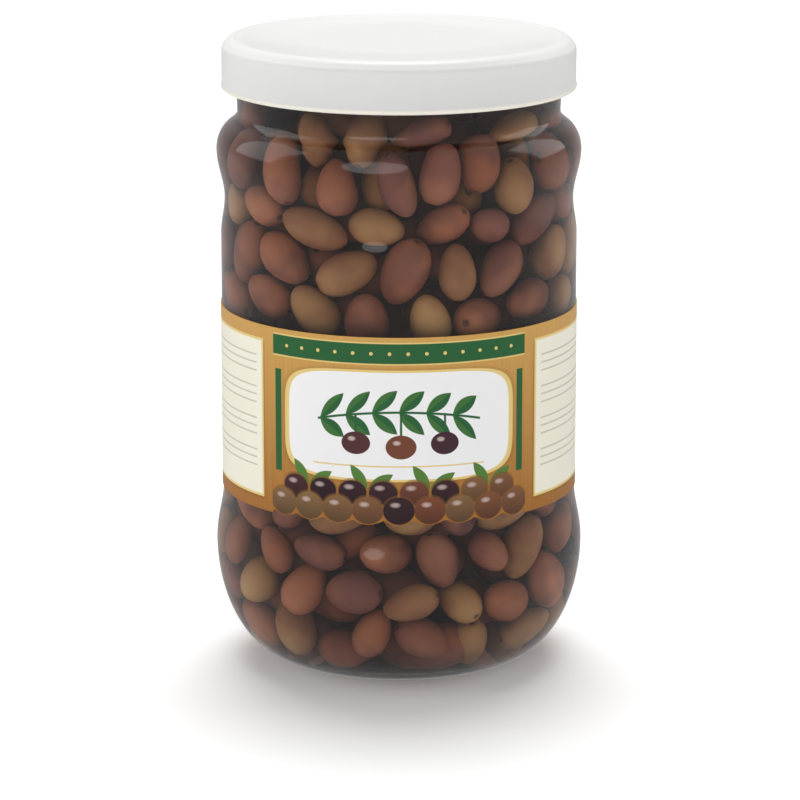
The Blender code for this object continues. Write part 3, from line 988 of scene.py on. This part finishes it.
@dataclass
class Heap:
    """The olives: the outer ones lie as in the solid model, with a second layer and, behind, a core painted dark as
    shade.
    """

    jar: GlassJar
    label: Label
    lid: Lid
    half_width: Point = (5.1 * MM, 6.9 * MM)
    stretch: Point = (1.14, 1.62)
    row_pitch: float = 11.8 * MM
    spacing: float = 16.1 * MM
    jitter: float = 0.25
    inset: Point = (1.0, 1.4)
    dips: tuple[float, ...] = (0.15, 0.35, 0.9)
    top: float = 160.5 * MM
    seed: int = 23
    clearance: float = 0.9 * MM
    spheres: tuple[float, ...] = (-1.0, -0.5, 0.0, 0.5, 1.0)
    settle_steps: int = 40
    settle_push: float = 0.3
    settle_pull: float = 0.12 * MM
    wall_passes: int = 2
    inner_seed: int = 61
    inner_depth: float = 12.5 * MM
    core_depth: float = 22.0 * MM
    floor_rings: tuple[tuple[float, int], ...] = ((0.0, 1), (15.0 * MM, 6), (29.0 * MM, 12))

    def wall_line(self) -> np.ndarray:
        """The inside of the glass as the solid model has it, from the floor's middle to the neck."""
        points = [(0, self.jar.push_up + self.jar.floor)] + self.jar.inner_wall()
        return np.array(points + [(self.jar.neck_radius - self.jar.wall, self.lid.low)])

    def wall_distance(self, centres: np.ndarray, wall: np.ndarray) -> tuple[np.ndarray, np.ndarray]:
        """How far points are from the glass.

        Args:
            centres: One row (x, y, z) for each point.
            wall: The (radius, height) points of the glass's inside.

        Returns:
            The distances, and the directions away from the glass.
        """
        radius = np.hypot(centres[:, 0], centres[:, 1])
        flat = np.stack([radius, centres[:, 2]], axis=1)
        start, end = wall[:-1], wall[1:]
        along = end - start
        share = ((flat[:, None] - start) * along).sum(axis=2) / (along * along).sum(axis=1)
        nearest = start + np.clip(share, 0, 1)[..., None] * along
        offset = flat[:, None] - nearest
        length = np.sqrt((offset * offset).sum(axis=2))
        best = length.argmin(axis=1)
        rows = np.arange(len(flat))
        normal = np.stack([-along[:, 1], along[:, 0]], axis=1) / np.sqrt((along * along).sum(axis=1))[:, None]
        normal = normal[best]
        distance = ((flat - nearest[rows, best]) * normal).sum(axis=1)
        away = np.stack([normal[:, 0] * centres[:, 0] / radius, normal[:, 0] * centres[:, 1] / radius,
                         normal[:, 1]], axis=1)
        return distance, away

    def keep_off_glass(self, centres: np.ndarray, axes: np.ndarray, halves: np.ndarray,
                       wall: np.ndarray) -> np.ndarray:
        """Move each olive clear of the glass, or draw it gently out towards it.

        Args:
            centres: Places of the olives.
            axes: Directions of their long axes.
            halves: Half-lengths and half-widths.
            wall: The glass's inside.

        Returns:
            The new places.
        """
        length, width = halves[:, 0], halves[:, 1]
        reach = (length ** 2 - width ** 2) / length
        gaps, aways = [], []
        for place in self.spheres:
            radius = width * np.sqrt(1 - (place * reach) ** 2 / (length ** 2 - width ** 2))
            found, away = self.wall_distance(centres + axes * (place * reach)[:, None], wall)
            gaps.append(found - radius - self.clearance)
            aways.append(away)
        gaps, aways = np.array(gaps), np.array(aways)
        closest = gaps.argmin(axis=0)
        rows = np.arange(len(centres))
        gap = gaps[closest, rows]
        move = np.where(gap < 0, -gap, -np.minimum(gap, self.settle_pull))
        return centres + aways[closest, rows] * move[:, None]

    def scatter(self, wall: np.ndarray) -> Layer:
        """First places, directions and half-sizes of the olives against the glass.

        Args:
            wall: The glass's inside.

        Returns:
            Centres, axes and halves, one row an olive.
        """
        draw = random.Random(self.seed)
        wall = wall[1:]
        steps = wall[1:] - wall[:-1]
        reached = np.concatenate([[0], np.cumsum(np.hypot(steps[:, 0], steps[:, 1]))])
        rows = int(reached[-1] / self.row_pitch)
        centres, axes, halves = [], [], []
        for row in range(rows):
            middle = float(np.interp((row + 0.5) * self.row_pitch, reached, wall[:, 0]))
            count = round(2 * math.pi * (middle - self.half_width[1]) / self.spacing)
            for i in range(count):
                at = (row + 0.5 + draw.uniform(-self.jitter, self.jitter)) * self.row_pitch
                radius = float(np.interp(at, reached, wall[:, 0]))
                height = float(np.interp(at, reached, wall[:, 1]))
                turn = 2 * math.pi * (i + 0.5 * (row % 2) + draw.uniform(-self.jitter, self.jitter)) / count
                inset = radius - self.half_width[1] * draw.uniform(*self.inset)
                centres.append((inset * math.cos(turn), inset * math.sin(turn), height))
                lean = draw.uniform(0, math.pi)
                dip = draw.choice(self.dips) * draw.uniform(-1, 1)
                outward = Vector((math.cos(turn), math.sin(turn), 0))
                sideways = Vector((-math.sin(turn), math.cos(turn), 0))
                flat_axis = sideways * math.cos(lean) + Vector((0, 0, 1)) * math.sin(lean)
                axes.append((flat_axis * math.cos(dip) + outward * math.sin(dip))[:])
                half_width = draw.uniform(*self.half_width)
                halves.append((half_width * draw.uniform(*self.stretch), half_width))
        return np.array(centres), np.array(axes), np.array(halves)

    def push_apart(self, centres: np.ndarray, axes: np.ndarray, halves: np.ndarray) -> np.ndarray:
        """How far each olive moves so that it overlaps the others less.

        Args:
            centres: Places of the olives.
            axes: Directions of their long axes.
            halves: Half-lengths and half-widths.

        Returns:
            One move for each olive.
        """
        length, width = halves[:, 0], halves[:, 1]
        between = centres[:, None] - centres
        distance = np.sqrt((between * between).sum(axis=2)) + np.eye(len(centres))
        direction = between / distance[..., None]
        facing = (direction * axes[:, None]).sum(axis=2) ** 2
        reach = width[:, None] + (length - width)[:, None] * facing
        overlap = np.maximum(reach + reach.T - distance, 0) * (1 - np.eye(len(centres)))
        return self.settle_push * (overlap[..., None] * direction).sum(axis=1)

    def settle(self, olives: Layer, wall: np.ndarray, still: Layer | None = None) -> Layer:
        """Let olives settle out towards the glass.

        Args:
            olives: The olives that move.
            wall: The glass's inside.
            still: Olives that stay where they are, which the others nest between.

        Returns:
            The olives at their new places.
        """
        centres, axes, halves = olives
        for _ in range(self.settle_steps):
            crowd = (centres, axes, halves)
            if still is not None:
                crowd = tuple(np.concatenate(pair) for pair in zip(crowd, still))
            centres = centres + self.push_apart(*crowd)[:len(centres)]
            for _ in range(self.wall_passes):
                centres = self.keep_off_glass(centres, axes, halves, wall)
        return centres, axes, halves

    def shows(self, centre: Sequence[float]) -> bool:
        """Whether an olive is clear of the label's cover."""
        margin = self.half_width[0]
        behind_label = self.label.low + margin < centre[2] < self.label.high - margin
        at_back_gap = centre[1] > 0 and abs(centre[0]) < self.label.back_gap
        return centre[2] < self.top and (at_back_gap or not behind_label)

    def inner_olives(self, wall: np.ndarray) -> Layer:
        """Places, directions and half-sizes of the olives behind the outer ones and on the floor.

        Args:
            wall: The glass's inside.

        Returns:
            Centres, axes and halves, one row an olive.
        """
        draw = random.Random(self.inner_seed)
        centres = []
        height = self.jar.push_up + self.jar.floor + self.half_width[1]
        for radius, count in self.floor_rings:
            for i in range(count):
                turn = 2 * math.pi * (i + draw.uniform(0, 0.3)) / count
                centres.append((radius * math.cos(turn) + MM, radius * math.sin(turn), height + 0.6 * MM))
        level = height + self.row_pitch
        row = 0
        while level < self.lid.low:
            radius = float(np.interp(level, wall[1:, 1], wall[1:, 0])) - self.half_width[1] - self.inner_depth
            count = round(2 * math.pi * radius / self.spacing)
            for i in range(count):
                turn = 2 * math.pi * (i + 0.5 * (row % 2) + draw.uniform(-0.2, 0.2)) / count
                centres.append((radius * math.cos(turn), radius * math.sin(turn), level + draw.uniform(-2, 2) * MM))
            level += self.row_pitch
            row += 1
        axes, halves = [], []
        for _ in centres:
            axis = Vector((draw.uniform(-1, 1), draw.uniform(-1, 1), draw.uniform(-0.6, 0.6))).normalized()
            axes.append(axis[:])
            half_width = draw.uniform(*self.half_width)
            halves.append((half_width * draw.uniform(*self.stretch), half_width))
        return np.array(centres), np.array(axes), np.array(halves)

    def model_olive(self) -> bpy.types.Object:
        """One olive of unit half-length and half-width: blunt at the stem end, pointed at the other."""
        Workshop.clear_selection()
        bpy.ops.mesh.primitive_uv_sphere_add(segments=10, ring_count=8, radius=1.0)
        olive = Workshop.name("olive")
        bpy.ops.object.mode_set(mode="EDIT")
        Workshop.pick(olive, lambda place: 0.8 < place.z < 0.99)
        bpy.ops.transform.resize(value=(0.62, 0.62, 1.0), center_override=(0, 0, 0))
        bpy.ops.transform.translate(value=(0, 0, 0.07))
        Workshop.pick(olive, lambda place: place.z > 0.995 and math.hypot(place.x, place.y) < 0.01)
        bpy.ops.transform.translate(value=(0, 0, -0.22))
        Workshop.pick(olive, lambda place: place.z < -0.995)
        bpy.ops.transform.translate(value=(0, 0, -0.05))
        Workshop.pick(olive, lambda place: 0.2 < place.z < 0.8)
        bpy.ops.transform.resize(value=(1.05, 1.05, 1.0), center_override=(0, 0, 0))
        Workshop.pick(olive, lambda place: -0.8 < place.z < -0.2)
        bpy.ops.transform.resize(value=(0.96, 0.96, 1.0), center_override=(0, 0, 0))
        bpy.ops.object.mode_set(mode="OBJECT")
        along = olive.data.attributes.new("along", "FLOAT", "POINT")
        for vertex, item in zip(olive.data.vertices, along.data):
            item.value = 1.0 if vertex.co.z > 0.7 and math.hypot(vertex.co.x, vertex.co.y) < 0.1 else \
                min(0.88, vertex.co.z)
        return olive

    def place_olive(self, pattern: bpy.types.Object, centre: Sequence[float], axis: Sequence[float],
                    half: Sequence[float], draw: random.Random) -> bpy.types.Object:
        """Copy the pattern olive to its place with its own slight unevenness and tone.

        Args:
            pattern: The unit olive.
            centre: Where it goes.
            axis: Direction of its long axis.
            half: Half-length and half-width.
            draw: Source of the unevenness.

        Returns:
            The copy.
        """
        olive = bpy.data.objects.new("olive", pattern.data.copy())
        bpy.context.scene.collection.objects.link(olive)
        flip = -1 if draw.random() < 0.5 else 1
        turn = (Vector(axis) * flip).to_track_quat("Z", "Y").to_matrix().to_4x4()
        roll = Matrix.Rotation(draw.uniform(0, 2 * math.pi), 4, "Z")
        size = Matrix.Diagonal((half[1] * draw.uniform(0.95, 1.04), half[1] * draw.uniform(0.95, 1.04), half[0], 1))
        olive.data.transform(Matrix.Translation(centre) @ turn @ roll @ size)
        tone = olive.data.attributes.new("tone", "FLOAT", "POINT")
        value = draw.random()
        tone.data.foreach_set("value", [value] * len(olive.data.vertices))
        return olive

    def build_core(self) -> bpy.types.Object:
        """Turn the middle, painted dark as shade. Returns the core."""
        low = self.jar.push_up + self.jar.floor + 2 * self.half_width[1]
        high = self.lid.low - self.half_width[1]
        side = [(max(radius - self.core_depth, 8 * MM), height) for radius, height in self.jar.inner_wall(2)
                if low < height < high]
        profile = [(0, low), (side[0][0], low)] + side + [(side[-1][0], high), (0, high)]
        core = Workshop.turn("olive_core", profile, 48, 60.0)
        core.data.materials.append(CoreShadeFinish().material())
        return core

    def build(self) -> list[bpy.types.Object]:
        """Place all olives, join each ripeness into one piece and dress it. Returns the pieces."""
        finishes = {
            OliveKind.TAN: OliveFinish(OliveKind.TAN, (0.39, 0.23, 0.095), (0.29, 0.15, 0.065),
                                       (0.19, 0.070, 0.045), 0.62),
            OliveKind.BROWN: OliveFinish(OliveKind.BROWN, (0.37, 0.145, 0.075), (0.25, 0.090, 0.050),
                                         (0.125, 0.048, 0.040), 0.68),
            OliveKind.PURPLE: OliveFinish(OliveKind.PURPLE, (0.23, 0.085, 0.064), (0.125, 0.050, 0.045),
                                          (0.30, 0.125, 0.065), 0.55),
        }
        weights = {OliveKind.TAN: 0.28, OliveKind.BROWN: 0.47, OliveKind.PURPLE: 0.25}
        wall = self.wall_line()
        draw = random.Random(self.seed + 1)
        pattern = self.model_olive()
        groups: dict[OliveKind, list[bpy.types.Object]] = {kind: [] for kind in OliveKind}
        outer = self.settle(self.scatter(wall), wall)
        inner = self.settle(self.inner_olives(wall), wall, outer)
        for centre, axis, half in [*zip(*outer), *zip(*inner)]:
            if not self.shows(centre):
                continue
            kind = draw.choices(list(weights), list(weights.values()))[0]
            groups[kind].append(self.place_olive(pattern, centre, axis, half, draw))
        bpy.data.objects.remove(pattern)
        pieces = [self.build_core()]
        for kind, members in groups.items():
            Workshop.take(members[0])
            for member in members:
                member.select_set(True)
            bpy.ops.object.join()
            piece = Workshop.name("olives_" + kind.value)
            Workshop.apply(piece, "SUBSURF", levels=1, render_levels=1)
            bpy.ops.object.shade_smooth()
            piece.data.materials.clear()
            piece.data.materials.append(finishes[kind].material())
            pieces.append(piece)
            log.info("%s: %d olives", piece.name, len(members))
        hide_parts("olives")
        return pieces


@dataclass(frozen=True)
class Sky:
    """Even light from one part of the sky, as wide as its spread in degrees."""

    name: str
    place: tuple[float, float, float]
    strength: float
    spread: float


@dataclass(frozen=True)
class SoftBox:
    """A soft lamp that faces the jar."""

    name: str
    place: tuple[float, float, float]
    size: Point
    power: float


@dataclass
class Studio:
    """Floor, light and camera."""

    floor_side: float = 14.0
    floor_white: Colour = (0.93, 0.93, 0.93)
    world_strength: float = 0.44
    skies: tuple[Sky, ...] = (Sky("overhead", (0.0, 0.36, 1.0), 2.36, 29.0),
                              Sky("front", (-0.25, -0.87, 0.42), 0.57, 40.0))
    boxes: tuple[SoftBox, ...] = (SoftBox("left_box", (-1.0, 0.25, 0.70), (0.85, 0.95), 2.6),
                                  SoftBox("right_box", (1.0, 0.45, 0.70), (0.75, 0.85), 2.2))
    aim: tuple[float, float, float] = (0.0, 0.0, 0.09)
    camera_place: tuple[float, float, float] = (0.0, -1.10, 0.3421)
    camera_tilt: float = 13.683
    focal_pixels: float = 3880.0
    axis_pixel: float = 398.9
    sensor: float = 36.0

    def build_floor(self) -> None:
        """Lay the plain pale floor."""
        Workshop.clear_selection()
        bpy.ops.mesh.primitive_plane_add(size=self.floor_side, location=(0, 0, -0.05 * MM))
        floor = Workshop.name("floor")
        bpy.ops.object.transform_apply(location=True, rotation=True, scale=True)
        bench = Bench("floor")
        colour = bench.blend(bench.noise(3.0), self.floor_white, tuple(0.99 * part for part in self.floor_white))
        shader = bench.coat({"Base Color": colour, "Roughness": 0.9, "Specular IOR Level": 0.1})
        floor.data.materials.append(bench.close(shader.outputs[0]))
        floor.visible_glossy = False     # the glass mirrors the even surrounding light and the lamps

    def hang(self, name: str, kind: str, place: Sequence[float], power: float) -> bpy.types.Light:
        """Hang one lamp that faces the middle of the jar.

        Args:
            name: The lamp's name.
            kind: Its type.
            place: Where it hangs, in metres.
            power: Its power.

        Returns:
            The lamp's data.
        """
        data = bpy.data.lights.new(name, kind)
        data.energy = power
        lamp = bpy.data.objects.new(name, data)
        lamp.location = place
        lamp.rotation_euler = (Vector(self.aim) - Vector(place)).to_track_quat("-Z", "Y").to_euler()
        bpy.context.scene.collection.objects.link(lamp)
        return data

    def build_light(self) -> None:
        """Set the even surrounding light and the soft lamps."""
        world = bpy.data.worlds.new("studio")
        world.use_nodes = True
        background = world.node_tree.nodes["Background"]
        background.inputs["Color"].default_value = (1, 1, 1, 1)
        background.inputs["Strength"].default_value = self.world_strength
        bpy.context.scene.world = world
        for sky in self.skies:
            place = Vector(self.aim) + Vector(sky.place)
            self.hang(sky.name, "SUN", place, sky.strength).angle = math.radians(sky.spread)
        for box in self.boxes:
            lamp = self.hang(box.name, "AREA", box.place, box.power)
            lamp.shape = "RECTANGLE"
            lamp.size, lamp.size_y = box.size
        bpy.context.scene.view_settings.view_transform = "Standard"

    def build_camera(self) -> None:
        """Set the camera at the photograph's angle."""
        data = bpy.data.cameras.new("camera")
        data.sensor_width = self.sensor
        data.lens = self.focal_pixels * self.sensor / PHOTO_SIDE
        data.shift_x = (PHOTO_SIDE / 2 - self.axis_pixel) / PHOTO_SIDE
        data.clip_start, data.clip_end = 0.01, 50.0
        camera = bpy.data.objects.new("camera", data)
        camera.location = self.camera_place
        camera.rotation_euler = (math.radians(90 - self.camera_tilt), 0, 0)
        bpy.context.scene.collection.objects.link(camera)
        bpy.context.scene.camera = camera

    def build(self) -> None:
        """Make the whole studio."""
        self.build_floor()
        self.build_light()
        self.build_camera()


def ride_all(pieces: Iterable[bpy.types.Object]) -> None:
    """Let every piece ride on the jar's body and report it."""
    for piece in pieces:
        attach(piece, BODY)
        log.info("%s: %d faces", piece.name, len(piece.data.polygons))


def main() -> None:
    """Build the jar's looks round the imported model."""
    logging.basicConfig(level=logging.INFO, format="%(message)s")
    lid_low, lid_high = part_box("lid")
    label_low, label_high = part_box("label")
    Studio().build()
    jar = GlassJar()
    lid = Lid(low=lid_low.z, height=lid_high.z - lid_low.z)
    label = Label(low=label_low.z, high=label_high.z, glass_radius=jar.panel_radius)
    brine = Brine(jar=jar, level=lid.low + 5 * MM)
    heap = Heap(jar=jar, label=label, lid=lid)
    ride_all([jar.build(lid), lid.build(), label.build(), brine.build()])
    ride_all(heap.build())


if __name__ == "__main__":
    main()
